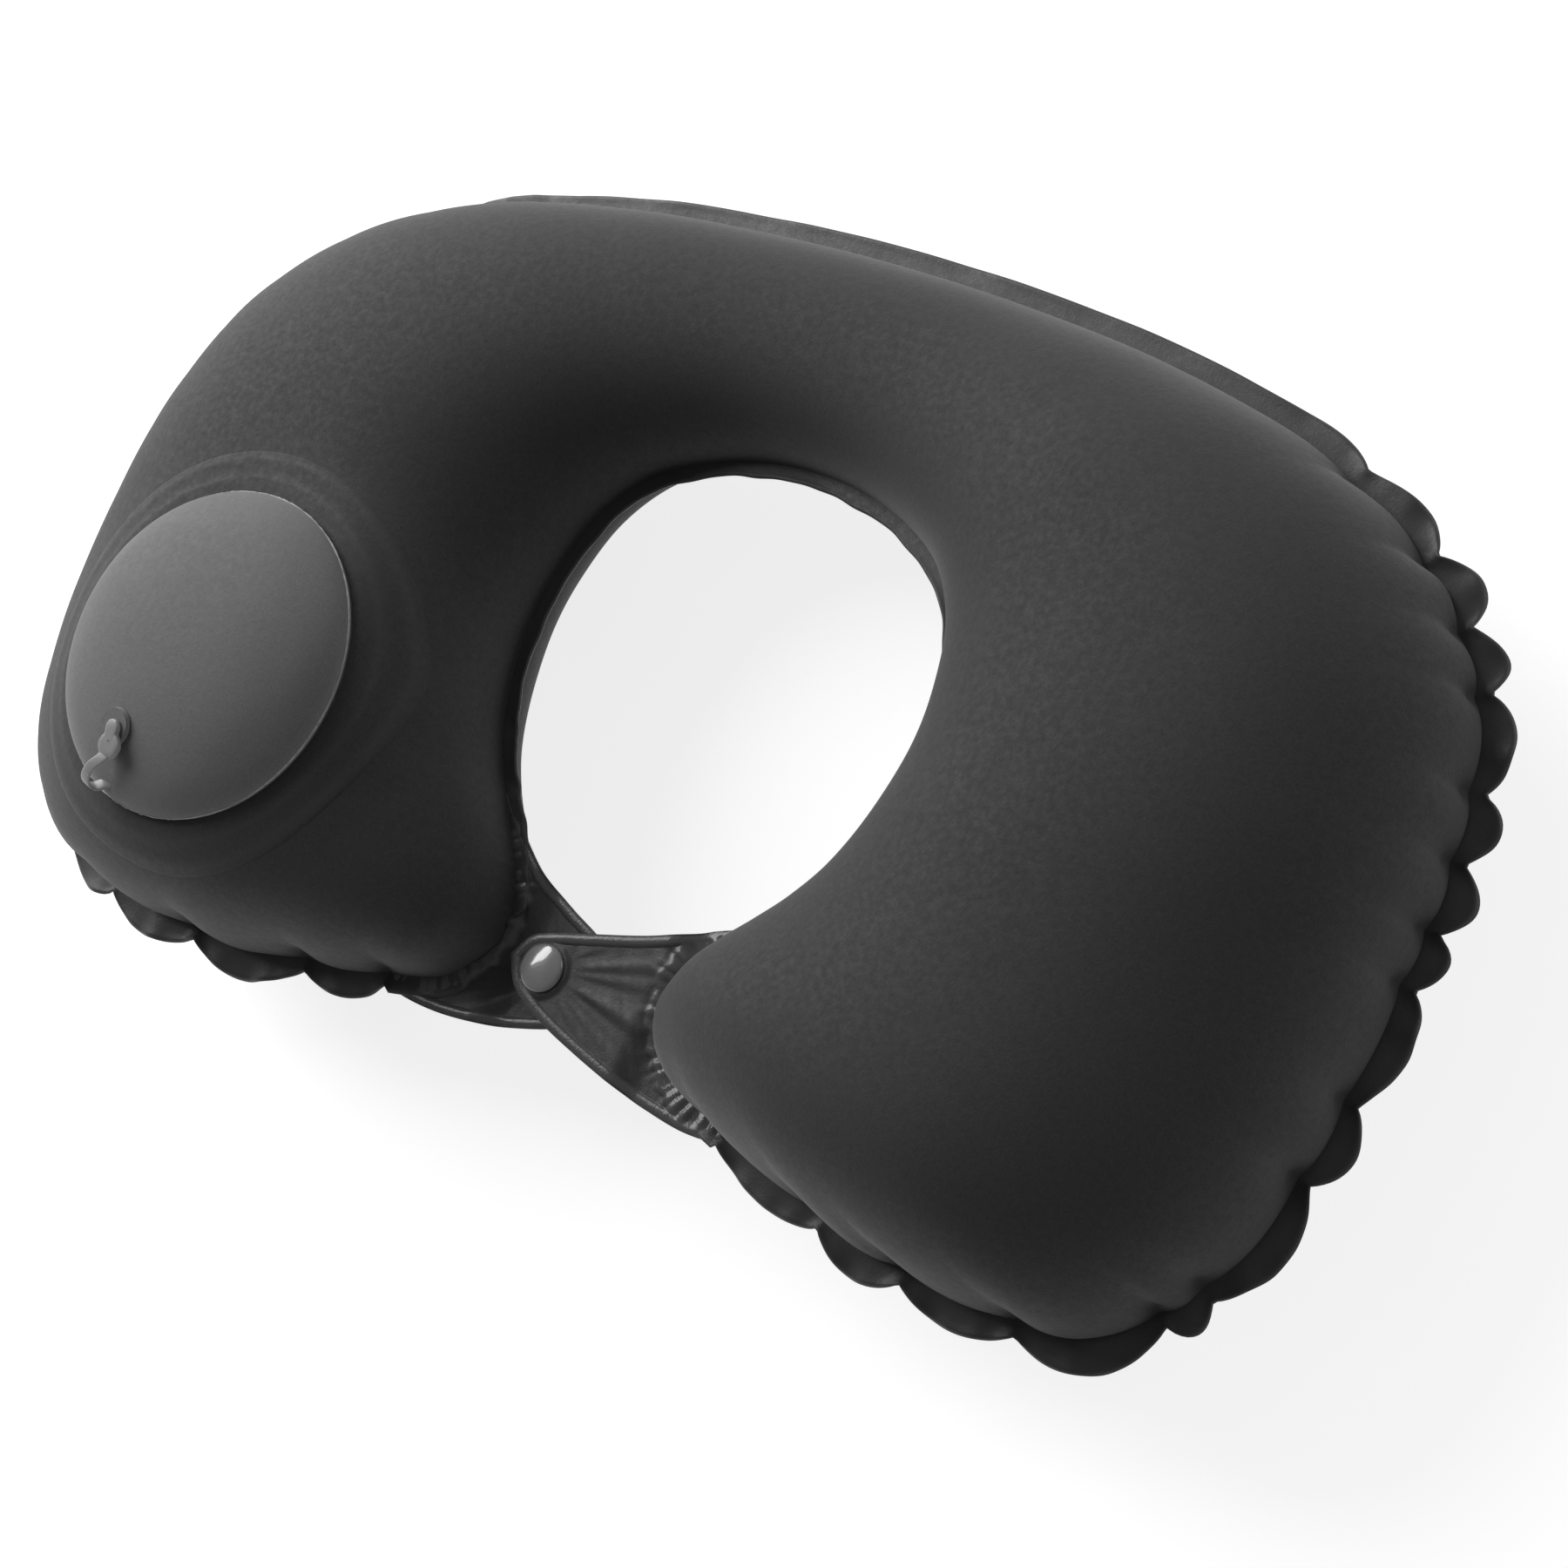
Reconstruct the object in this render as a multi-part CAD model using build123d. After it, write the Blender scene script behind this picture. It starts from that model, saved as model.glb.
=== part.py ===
from build123d import *
import math
import os

# Inflatable U-shaped neck pillow with a press pump, two snap tabs and a release valve.
# Frame: origin at the bottom centre, +Z up, back of the neck towards +Y, open front towards -Y.
# All sizes are in millimetres.

# ---- air chamber -------------------------------------------------------------------------
SEAM_Z = 45.0  # height of the welded seam between the two panels
SKIN = 0.6  # thickness of the coated fabric
LOWER_SHARE = 0.898  # depth of the lower panel as a share of the crown height
OUTER_FLANGE = 8.0  # weld flange round the outside
INNER_FLANGE = 4.5  # weld flange round the neck opening
ROUND_CROWN = 2.0  # superellipse power of an arm's cross-section
PUMP_CROWN = 2.7  # flatter crown, held by the pump's base
PUMP_RIBS = (7, 8, 9, 10)
SEAM_DIP = 0.8  # how far a rib runs past the seam before it is trimmed there
RIB_STEPS = 12
END_WALL = 4.0  # how far the hollow stops short of an arm's tip

# One arm's ribs from the back of the neck to the tip, as seen from above:
# outer seam point, inner seam point, crown height above the seam.
RIBS = [
    ((0.0, 123.0), (0.0, 62.0), 27.0),
    ((45.0, 121.5), (20.0, 60.0), 28.5),
    ((90.0, 117.0), (38.0, 54.0), 33.0),
    ((135.0, 107.0), (52.0, 45.0), 39.0),
    ((174.0, 88.0), (62.0, 31.0), 43.5),
    ((201.0, 59.0), (67.0, 14.0), 47.0),
    ((211.0, 23.0), (68.5, -2.0), 49.0),
    ((212.0, -17.0), (66.0, -20.0), 50.0),
    ((209.0, -60.0), (61.0, -35.0), 50.0),
    ((197.0, -96.0), (54.5, -46.0), 49.5),
    ((170.0, -118.0), (48.0, -54.5), 48.0),
    ((124.0, -121.5), (42.0, -62.0), 43.0),
    ((80.0, -114.5), (36.5, -69.5), 34.0),
    ((47.0, -106.0), (32.8, -77.5), 21.0),
    ((34.0, -94.0), (31.5, -84.0), 4.0),
]

# ---- snap tabs -----------------------------------------------------------------------------
TAB_ROOT_X = 24.3  # distance of each tab's fold line from the centre plane
TAB_ROOT_GAP = 0.5
TAB_PLY = 0.6
RIGHT_TAB_Z = 46.8  # underside of the right tab, which lies on top
LEFT_TAB_Z = 43.2  # top of the left tab
RIGHT_TAB_ROOT_Y = (-67.0, -111.8)
LEFT_TAB_ROOT_Y = (-68.8, -111.2)
RIGHT_TAB_TIP = (-13.5, -91.5, 10.3)  # centre x, y and radius of the rounded tip
LEFT_TAB_TIP = (-4.0, -91.0, 13.5)
WEB_OUTLINE = [(24.8, -67.0), (37.0, -58.5), (52.0, -60.0), (62.0, -108.0), (57.0, -114.0), (24.8, -111.8)]
SNAP_AT = (-12.5, -91.0)
SNAP_CAP_R = 6.7
SNAP_CAP_RISE = 2.3
SNAP_RING_R = 5.6
SNAP_BORE_R = 2.35
STUD_HEAD_R = 2.1
STUD_NECK_R = 1.9
STUD_Z = (43.9, 44.7, 45.7)  # foot of the neck, foot of the head, top of the head
SOCKET_Z = (44.4, 46.2)
CAP_TRIM = 0.15
PRONG_R = 0.95
PRONG_HOLE_R = 1.1
PRONG_LENGTH = 1.6

# ---- press pump ------------------------------------------------------------------------------
PUMP_AT = (-126.0, -51.0)
PUMP_R = 47.5
PUMP_BASE_Z = 96.2  # top of the pump's base film
PUMP_RISE = 16.0  # height of the dome over its base
PUMP_LIP = 1.6  # cut edge at the dome's rim
PUMP_CROWN_R = 134.0  # radius of the dome's shallow top
PUMP_SHOULDER = 38.0  # radius at which the rounded shoulder starts
COVER_WALL = 0.8
FOAM_GAP = 0.3
PUMP_BASE_LOW = 84.0  # below the panel everywhere under the pump
PATCH_R = 60.0
PATCH_RISE = 0.5
PATCH_GAP = 0.4

# ---- valves ------------------------------------------------------------------------------------
OUTLET_BORE_R = 3.0
OUTLET_SPIGOT_R = 5.8
OUTLET_HOLE_R = 6.0
OUTLET_FLANGE_R = 8.5
OUTLET_SEAT_Z = 92.0
OUTLET_FLANGE_THICK = 1.4
OUTLET_FLAP_R = 5.0
FLAP_THICK = 0.5
FLAP_GAP = 0.2
INLET_DISTANCE = 29.7  # from the pump's axis
INLET_HEADING = 256.0  # direction from the pump's axis, degrees from +X
INLET_RING_R = 5.2
INLET_BOSS_R = 3.2
INLET_BOSS_DEPTH = 4.2
INLET_BORE_R = 1.75
INLET_HOLE_R = 3.5
INLET_RING_Z = (0.3, 1.0)
INLET_FLAP_R = 2.8
PLUG_PIN_R = 1.6
PLUG_PIN_Z = (-2.6, 1.4)
PLUG_LOBE_R = 2.4
PLUG_LOBE_Z = (1.3, 2.4)
PLUG_DISC_R = 4.0
PLUG_DISC_Z = (1.3, 2.6)
PLUG_DISC_AT = 4.4  # offset of the grip disc from the pin
STRAP_WIDE = 2.6
STRAP_THICK = 0.7
STRAP_BEND = [(17.5, 0.4), (19.0, -1.1), (17.5, -2.6)]  # the strap's turn past the rim
RELEASE_RIB = 8
RELEASE_ACROSS = -0.75  # place on the rib: 0 is the centreline, -1 the outer seam
RELEASE_RING_R = 8.0
RELEASE_SPIGOT_R = 4.6
RELEASE_HOLE_R = 4.8
RELEASE_BORE_R = 2.5
RELEASE_HEAD_R = 6.5
RELEASE_SEAT_Z = (-3.0, 1.2)
RELEASE_PIN_Z = (-2.6, 1.6)
RELEASE_HEAD_Z = (1.5, 3.0)
RELEASE_FIT = 0.15
RELEASE_STRAP = [(6.7, 2.2), (9.5, 2.0), (11.5, 0.8)]
RELEASE_STRAP_WIDE = 4.0

OVERLAP = 0.1  # how far solids run into each other before they are joined
THROUGH = 20.0  # how far a cutting tool runs past what it cuts
BIG = 600.0  # larger than the whole pillow


def z_slab(low, high):
    """A slab that covers the whole pillow between two heights."""
    return Pos(0, 0, (low + high) / 2) * Box(BIG, BIG, high - low)


def disc(centre, radius, low, high):
    """An upright cylinder between two heights."""
    return Pos(centre[0], centre[1], (low + high) / 2) * Cylinder(radius, high - low)


def ring(centre, outer, inner, low, high):
    return disc(centre, outer, low, high) - disc(centre, inner, low - 1, high + 1)


# ---- air chamber -------------------------------------------------------------------------------


def mirrored(rib):
    (ox, oy), (ix, iy), height = rib
    return ((-ox, oy), (-ix, iy), height)


ALL_RIBS = [mirrored(rib) for rib in reversed(RIBS[1:])] + RIBS
LAST = len(RIBS) - 1


def crown_power(index, side):
    """The pump flattens the crown of the ribs under it, on the upper left."""
    arm_index = LAST - index
    return PUMP_CROWN if side > 0 and arm_index in PUMP_RIBS else ROUND_CROWN


def rib_plane(index, inset):
    """Upright plane through a rib with its local X from the inner to the outer seam."""
    (ox, oy), (ix, iy), _ = ALL_RIBS[index]
    along = Vector(ox - ix, oy - iy, 0).normalized()
    centre = Vector((ox + ix) / 2, (oy + iy) / 2, SEAM_Z)
    if inset and index in (0, len(ALL_RIBS) - 1):
        neighbour = ALL_RIBS[1 if index == 0 else -2]
        back = Vector(*neighbour[0], 0) + Vector(*neighbour[1], 0)
        step = (back * 0.5 - Vector(centre.X, centre.Y, 0)).normalized()
        centre = centre + step * END_WALL
    return Plane(origin=centre, x_dir=along, z_dir=along.cross(Vector(0, 0, 1)))


def rib_face(index, side, inset):
    """Half of an arm's cross-section: a superellipse over the rib, closed just past the seam."""
    (ox, oy), (ix, iy), height = ALL_RIBS[index]
    share = 1.0 if side > 0 else LOWER_SHARE
    half = math.dist((ox, oy), (ix, iy)) / 2 - inset
    rise = height * share - inset
    power = 2 / crown_power(index, side)
    dip = math.asin((SEAM_DIP / rise) ** (1 / power))
    points = []
    for step in range(RIB_STEPS + 1):
        turn = -dip + (math.pi + 2 * dip) * step / RIB_STEPS
        c = math.cos(turn)
        s = math.sin(turn)
        across = math.copysign(abs(c) ** power, c) * half
        up = math.copysign(abs(s) ** power, s) * rise * side
        points.append((across, up))
    outline = Spline(points) + Line(points[-1], points[0])
    return rib_plane(index, inset) * make_face(outline)


def chamber_half(side, inset):
    return loft([rib_face(index, side, inset) for index in range(len(ALL_RIBS))])


def flange_outline():
    """Closed outline of the weld flange: each seam point pushed out along the seam's normal."""
    outer = [rib[0] for rib in ALL_RIBS]
    inner = [rib[1] for rib in reversed(ALL_RIBS)]
    seam = outer + inner
    widths = [OUTER_FLANGE] * len(outer) + [INNER_FLANGE] * len(inner)
    points = []
    for k, (x, y) in enumerate(seam):
        before = seam[k - 1]
        after = seam[(k + 1) % len(seam)]
        tangent = Vector(after[0] - before[0], after[1] - before[1], 0).normalized()
        points.append((x - tangent.Y * widths[k], y + tangent.X * widths[k]))
    return Spline(points, periodic=True)


def flange_plate(low, high):
    """Flange with the webs that the tabs fold from."""
    plate = Pos(0, 0, low) * extrude(make_face(flange_outline()), high - low)
    for sign in (1, -1):
        web = Polyline([(sign * x, y) for x, y in WEB_OUTLINE], close=True)
        plate += Pos(0, 0, low) * extrude(make_face(web), high - low)
    return plate


upper_outer = chamber_half(1, 0.0) & z_slab(SEAM_Z, BIG)
upper_inner = chamber_half(1, SKIN)
lower_outer = chamber_half(-1, 0.0) & z_slab(-BIG, SEAM_Z)
lower_inner = chamber_half(-1, SKIN)

upper_panel = flange_plate(SEAM_Z, SEAM_Z + SKIN) + upper_outer - upper_inner
lower_panel = flange_plate(SEAM_Z - SKIN, SEAM_Z) + lower_outer - lower_inner
outlet_hole = disc(PUMP_AT, OUTLET_HOLE_R, PUMP_BASE_LOW - THROUGH, PUMP_BASE_Z + PUMP_RISE + THROUGH)
upper_panel -= outlet_hole

# ---- press pump ----------------------------------------------------------------------------------


def dome(inset):
    """Foam dome: a short straight lip, a rounded shoulder and a shallow crown."""
    radius = PUMP_R - inset
    top = PUMP_RISE - inset
    crown_r = PUMP_CROWN_R - inset
    lean = math.asin(PUMP_SHOULDER / PUMP_CROWN_R)
    start = (crown_r * math.sin(lean), top - crown_r * (1 - math.cos(lean)))
    crown = RadiusArc((0, top), start, crown_r)
    shoulder = TangentArc(start, (radius, PUMP_LIP), tangent=(math.cos(lean), -math.sin(lean)))
    floor = Polyline([(radius, PUMP_LIP), (radius, 0), (0, 0), (0, top)])
    profile = Plane.XZ * make_face(crown + shoulder + floor)
    return Pos(PUMP_AT[0], PUMP_AT[1], PUMP_BASE_Z) * revolve(profile, Axis.Z)


def inlet_frame():
    """Frame on the dome at the inlet valve: Z out of the dome, X away from the pump's axis."""
    heading = math.radians(INLET_HEADING)
    lean = math.asin(INLET_DISTANCE / PUMP_CROWN_R)
    outward = Vector(math.cos(heading), math.sin(heading), 0)
    drop = PUMP_CROWN_R * (1 - math.cos(lean))
    origin = Vector(PUMP_AT[0], PUMP_AT[1], PUMP_BASE_Z + PUMP_RISE - drop) + outward * INLET_DISTANCE
    normal = outward * math.sin(lean) + Vector(0, 0, math.cos(lean))
    slope = outward * math.cos(lean) - Vector(0, 0, math.sin(lean))
    return Plane(origin=origin, x_dir=slope, z_dir=normal)


INLET = inlet_frame()
inlet_well = INLET * Cylinder(INLET_HOLE_R, 3 * THROUGH)
foam_well = INLET * Cylinder(INLET_RING_R, 3 * THROUGH)

pump_base = disc(PUMP_AT, PUMP_R, PUMP_BASE_LOW, PUMP_BASE_Z) - upper_outer - outlet_hole
pump_patch = ring(PUMP_AT, PATCH_R, PUMP_R + PATCH_GAP, SEAM_Z, PUMP_BASE_Z + THROUGH)
pump_patch = (pump_patch & (Pos(0, 0, PATCH_RISE) * upper_outer)) - upper_outer
cover_opening = disc(PUMP_AT, PUMP_R - COVER_WALL, PUMP_BASE_LOW, PUMP_BASE_Z + COVER_WALL)
pump_dome_cover = dome(0.0) - dome(COVER_WALL) - cover_opening - inlet_well
pump_foam = dome(COVER_WALL + FOAM_GAP) - foam_well - outlet_hole

# ---- outlet valve, from the pump into the chamber --------------------------------------------------

outlet_flap_z = OUTLET_SEAT_Z - FLAP_GAP - FLAP_THICK
outlet_flange_z = OUTLET_SEAT_Z + OUTLET_FLANGE_THICK
outlet_valve_seat = ring(PUMP_AT, OUTLET_SPIGOT_R, OUTLET_BORE_R, OUTLET_SEAT_Z, PUMP_BASE_Z)
outlet_valve_seat += ring(PUMP_AT, OUTLET_FLANGE_R, OUTLET_BORE_R, OUTLET_SEAT_Z, outlet_flange_z)
outlet_check_flap = disc(PUMP_AT, OUTLET_FLAP_R, outlet_flap_z, outlet_flap_z + FLAP_THICK)

# ---- inlet valve, plug and strap ----------------------------------------------------------------------


def washer(outer, inner, low, high):
    """Ring about the local Z axis."""
    body = Pos(0, 0, (low + high) / 2) * Cylinder(outer, high - low)
    return body - Cylinder(inner, BIG)


def round_plate(x, radius, low, high):
    return Pos(x, 0, (low + high) / 2) * Cylinder(radius, high - low)


inlet_ring = washer(INLET_RING_R, INLET_BORE_R, *INLET_RING_Z)
inlet_boss = washer(INLET_BOSS_R, INLET_BORE_R, -INLET_BOSS_DEPTH, INLET_RING_Z[1])
inlet_flap_top = -INLET_BOSS_DEPTH - FLAP_GAP

inlet_valve_seat = INLET * (inlet_ring + inlet_boss)
inlet_check_flap = INLET * round_plate(0, INLET_FLAP_R, inlet_flap_top - FLAP_THICK, inlet_flap_top)
inlet_plug = INLET * (
    round_plate(0, PLUG_PIN_R, *PLUG_PIN_Z)
    + round_plate(0, PLUG_LOBE_R, *PLUG_LOBE_Z)
    + round_plate(PLUG_DISC_AT, PLUG_DISC_R, *PLUG_DISC_Z)
)


def strap_loop():
    """Flat strap from the grip disc out over the rim and back under itself to the shoulder."""
    start = (PLUG_DISC_AT + PLUG_DISC_R + OVERLAP, 1.9)
    path = Polyline([start, (12.5, 1.7), STRAP_BEND[0]])
    path += ThreePointArc(*STRAP_BEND)
    return Plane.XZ * trace(path, STRAP_THICK)


inlet_plug_tether = INLET * extrude(strap_loop(), STRAP_WIDE / 2, both=True)

# ---- release valve on the underside of the pump arm ----------------------------------------------------


def release_frame():
    """Frame on the lower panel at the release valve, Z out of the panel."""
    (ox, oy), (ix, iy), height = mirrored(RIBS[RELEASE_RIB])
    half = math.dist((ox, oy), (ix, iy)) / 2
    depth = height * LOWER_SHARE
    outward = Vector(ox - ix, oy - iy, 0).normalized()
    across = abs(RELEASE_ACROSS)
    down = math.sqrt(1 - across**2)
    origin = Vector((ox + ix) / 2, (oy + iy) / 2, SEAM_Z - depth * down) + outward * (half * across)
    normal = outward * (across / half) - Vector(0, 0, down / depth)
    return Plane(origin=origin, x_dir=Vector(0, 1, 0), z_dir=normal.normalized())


RELEASE = release_frame()
release_pin = round_plate(0, RELEASE_BORE_R - RELEASE_FIT, *RELEASE_PIN_Z)
release_head = round_plate(0, RELEASE_HEAD_R, *RELEASE_HEAD_Z)
release_strap = Plane.XZ * trace(Polyline(RELEASE_STRAP), STRAP_THICK)

lower_panel -= RELEASE * Cylinder(RELEASE_HOLE_R, THROUGH)
release_valve_seat = RELEASE * washer(RELEASE_RING_R, RELEASE_BORE_R, *RELEASE_SEAT_Z) - lower_outer
release_valve_seat += RELEASE * washer(RELEASE_SPIGOT_R, RELEASE_BORE_R, *RELEASE_SEAT_Z)
release_valve_plug = RELEASE * (release_pin + release_head)
release_valve_tether = RELEASE * extrude(release_strap, RELEASE_STRAP_WIDE / 2, both=True)

# ---- snap tabs --------------------------------------------------------------------------------------------


def tab_outline(root_y, tip, side):
    """Tab seen from above: straight fold line at the root, straight sides, rounded tip."""
    root_x = side * (TAB_ROOT_X - TAB_ROOT_GAP)
    root = Line((root_x, root_y[0]), (root_x, root_y[1]))
    nose = Pos(tip[0], tip[1]) * CenterArc((0, 0), tip[2], 0, 360)
    return make_hull(root.edges() + nose.edges())


def tab_ply(root_y, tip, side, low):
    outline = tab_outline(root_y, tip, side)
    return Pos(0, 0, low) * extrude(outline, TAB_PLY) - disc(SNAP_AT, PRONG_HOLE_R, 0, BIG)


right_tab_lower_ply = tab_ply(RIGHT_TAB_ROOT_Y, RIGHT_TAB_TIP, 1, RIGHT_TAB_Z)
right_tab_upper_ply = tab_ply(RIGHT_TAB_ROOT_Y, RIGHT_TAB_TIP, 1, RIGHT_TAB_Z + TAB_PLY)
left_tab_upper_ply = tab_ply(LEFT_TAB_ROOT_Y, LEFT_TAB_TIP, -1, LEFT_TAB_Z - TAB_PLY)
left_tab_lower_ply = tab_ply(LEFT_TAB_ROOT_Y, LEFT_TAB_TIP, -1, LEFT_TAB_Z - 2 * TAB_PLY)

# ---- snap fastener ------------------------------------------------------------------------------

right_top = RIGHT_TAB_Z + 2 * TAB_PLY
left_bottom = LEFT_TAB_Z - 2 * TAB_PLY


def snap_button():
    """Low domed cap with its prong pointing down, its underside at Z = 0."""
    sphere_r = (SNAP_CAP_R**2 + SNAP_CAP_RISE**2) / (2 * SNAP_CAP_RISE)
    cap = Pos(0, 0, SNAP_CAP_RISE - sphere_r) * Sphere(sphere_r)
    cap &= Pos(0, 0, SNAP_CAP_RISE) * Cylinder(SNAP_CAP_R - CAP_TRIM, 2 * SNAP_CAP_RISE)
    return cap + Pos(0, 0, -PRONG_LENGTH / 2) * Cylinder(PRONG_R, PRONG_LENGTH)


neck_foot, head_foot, head_top = STUD_Z
snap_cap = Pos(*SNAP_AT, right_top) * snap_button()
snap_back_cap = Pos(*SNAP_AT, left_bottom) * Rot(180, 0, 0) * snap_button()
snap_socket = ring(SNAP_AT, SNAP_RING_R, SNAP_BORE_R, *SOCKET_Z)
snap_socket += ring(SNAP_AT, SNAP_RING_R, PRONG_HOLE_R, SOCKET_Z[1] - OVERLAP, RIGHT_TAB_Z)
snap_stud = ring(SNAP_AT, SNAP_RING_R, PRONG_HOLE_R, LEFT_TAB_Z, neck_foot + OVERLAP)
snap_stud += ring(SNAP_AT, STUD_NECK_R, PRONG_HOLE_R, neck_foot, head_foot + OVERLAP)
snap_stud += ring(SNAP_AT, STUD_HEAD_R, PRONG_HOLE_R, head_foot, head_top)

# ---- one file for each piece -----------------------------------------------------------------------

PIECES = {
    "upper_panel": upper_panel,
    "lower_panel": lower_panel,
    "pump_base": pump_base,
    "pump_patch": pump_patch,
    "pump_dome_cover": pump_dome_cover,
    "pump_foam": pump_foam,
    "outlet_valve_seat": outlet_valve_seat,
    "outlet_check_flap": outlet_check_flap,
    "inlet_valve_seat": inlet_valve_seat,
    "inlet_check_flap": inlet_check_flap,
    "inlet_plug": inlet_plug,
    "inlet_plug_tether": inlet_plug_tether,
    "release_valve_seat": release_valve_seat,
    "release_valve_plug": release_valve_plug,
    "release_valve_tether": release_valve_tether,
    "right_tab_upper_ply": right_tab_upper_ply,
    "right_tab_lower_ply": right_tab_lower_ply,
    "left_tab_upper_ply": left_tab_upper_ply,
    "left_tab_lower_ply": left_tab_lower_ply,
    "snap_cap": snap_cap,
    "snap_socket": snap_socket,
    "snap_stud": snap_stud,
    "snap_back_cap": snap_back_cap,
}

os.makedirs("parts", exist_ok=True)
for name, shape in PIECES.items():
    export_step(shape, f"parts/{name}.step")
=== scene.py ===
import math

import bmesh
import bpy
import numpy as np
from mathutils import Matrix, Vector
from mathutils.bvhtree import BVHTree


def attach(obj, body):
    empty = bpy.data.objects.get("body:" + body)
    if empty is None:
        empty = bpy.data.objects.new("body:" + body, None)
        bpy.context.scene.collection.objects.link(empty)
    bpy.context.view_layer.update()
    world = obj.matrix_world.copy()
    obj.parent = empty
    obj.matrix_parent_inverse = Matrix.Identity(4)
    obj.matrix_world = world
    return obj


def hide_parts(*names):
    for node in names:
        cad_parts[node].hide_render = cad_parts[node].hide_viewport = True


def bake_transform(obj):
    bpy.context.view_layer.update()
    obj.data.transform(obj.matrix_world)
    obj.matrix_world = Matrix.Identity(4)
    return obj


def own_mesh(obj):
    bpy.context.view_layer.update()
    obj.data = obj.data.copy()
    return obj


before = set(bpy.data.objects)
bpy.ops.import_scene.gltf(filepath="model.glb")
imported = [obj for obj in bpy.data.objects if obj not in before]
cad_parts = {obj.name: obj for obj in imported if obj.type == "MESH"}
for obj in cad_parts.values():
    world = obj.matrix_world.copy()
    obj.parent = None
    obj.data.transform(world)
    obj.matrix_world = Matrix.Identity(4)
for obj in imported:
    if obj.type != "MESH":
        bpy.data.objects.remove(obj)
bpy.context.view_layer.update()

# Inflatable U-shaped neck pillow. Shapes are worked out in millimetres in the frame's own axes
# and turned into metres when a mesh is made: +Z up, back of the neck +Y, open front -Y.

MM = 0.001
RNG = np.random.default_rng(7)

# ---- driving sizes, mm -------------------------------------------------------------------------

SEAM_Z = 45.0
LOWER_SHARE = 0.898  # depth of the lower panel against the upper panel's height
ROUND_CROWN = 2.12  # superellipse power of a free crown
PUMP_CROWN = 2.7  # the same under the pump
LOWEST_Z = 0.05
STATIONS = 1080
ACROSS = 64
TIP_RIB = 15

# One arm's ribs from the back of the neck to the tip: outer seam, inner seam, crown height.
RIBS = [
    ((0.0, 123.0), (0.0, 62.0), 27.0),
    ((45.0, 121.5), (20.0, 60.0), 28.5),
    ((90.0, 117.0), (38.0, 54.0), 33.0),
    ((135.0, 107.0), (52.0, 45.0), 39.0),
    ((174.0, 88.0), (62.0, 31.0), 43.5),
    ((201.0, 59.0), (67.0, 14.0), 47.0),
    ((211.0, 23.0), (68.5, -2.0), 49.0),
    ((212.0, -17.0), (66.0, -20.0), 50.0),
    ((209.0, -60.0), (61.0, -35.0), 50.0),
    ((197.0, -96.0), (54.5, -46.0), 49.5),
    ((170.0, -118.0), (48.0, -54.5), 48.0),
    ((124.0, -121.5), (42.0, -62.0), 43.0),
    ((80.0, -114.5), (36.5, -69.5), 34.0),
    ((47.0, -106.0), (32.8, -77.5), 22.0),
    ((35.5, -96.5), (31.3, -83.5), 11.0),
    ((31.0, -89.5), (31.0, -89.5), 0.0),
]

# Scallop notches along the outer seam of each arm, in rib numbers from the back of the neck.
RIGHT_NOTCHES = [
    2.4, 3.3, 4.0, 4.5, 4.95, 5.6, 6.05, 6.5, 6.85,
    7.55, 8.05, 8.95, 9.3, 10.3, 11.0, 11.6, 12.55,
]
LEFT_NOTCHES = [
    2.6, 3.5, 4.2, 4.8, 5.4, 5.9, 6.4, 7.0,
    7.6, 8.3, 8.9, 9.4, 10.13, 10.9, 11.8, 12.54,
]

PUMP_AT = (-126.0, -51.0)
PUMP_R = 47.5
PUMP_BASE_Z = 96.2
PUMP_RISE = 16.0
PUMP_EASE = 24.0
PUMP_FLAT_Z = 95.4  # level that the pump presses the upper panel to
SNAP_AT = (-12.5, -91.0)  # axis of the snap
SNAP_CAP_Z = 48.0

# ---- small tools -------------------------------------------------------------------------------


def smooth_through(points, at):
    """Smooth curve through evenly numbered points, read at fractional numbers."""
    points = np.asarray(points, float)
    at = np.clip(np.asarray(at, float), 0, len(points) - 1)
    k = np.minimum(at.astype(int), len(points) - 2)
    f = (at - k)[:, None]
    row = np.vstack([2 * points[0] - points[1], points, 2 * points[-1] - points[-2]])
    p0, p1, p2, p3 = (row[k + i] for i in range(4))
    return p1 + 0.5 * f * (p2 - p0 + f * (2 * p0 - 5 * p1 + 4 * p2 - p3 + f * (3 * (p1 - p2) + p3 - p0)))


def smoothstep(x, low, high):
    f = np.clip((np.asarray(x, float) - low) / (high - low), 0, 1)
    return f * f * (3 - 2 * f)


def bell(x, centre, width):
    return np.exp(-(((x - centre) / width) ** 2))


def running_length(points):
    steps = np.linalg.norm(np.diff(points, axis=0), axis=1)
    return np.concatenate([[0], np.cumsum(steps)])


def wavy(x, wavelength, seed):
    """Smooth irregular wave of about unit height along x."""
    rng = np.random.default_rng(seed)
    total = np.zeros_like(x)
    for share in (1.0, 0.61, 0.37):
        total = total + np.sin(2 * math.pi * x / (wavelength * share) + rng.uniform(0, 6.28)) * share
    return total / 1.6


def grid_quads(rows, columns, close_rows=False, start=0):
    """Quads of a grid of rows x columns vertices."""
    last = rows if close_rows else rows - 1
    i = np.arange(last)[:, None]
    j = np.arange(columns - 1)[None, :]
    a = i * columns + j
    b = ((i + 1) % rows) * columns + j
    return (np.stack([a, b, b + 1, a + 1], -1).reshape(-1, 4) + start).tolist()


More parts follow.
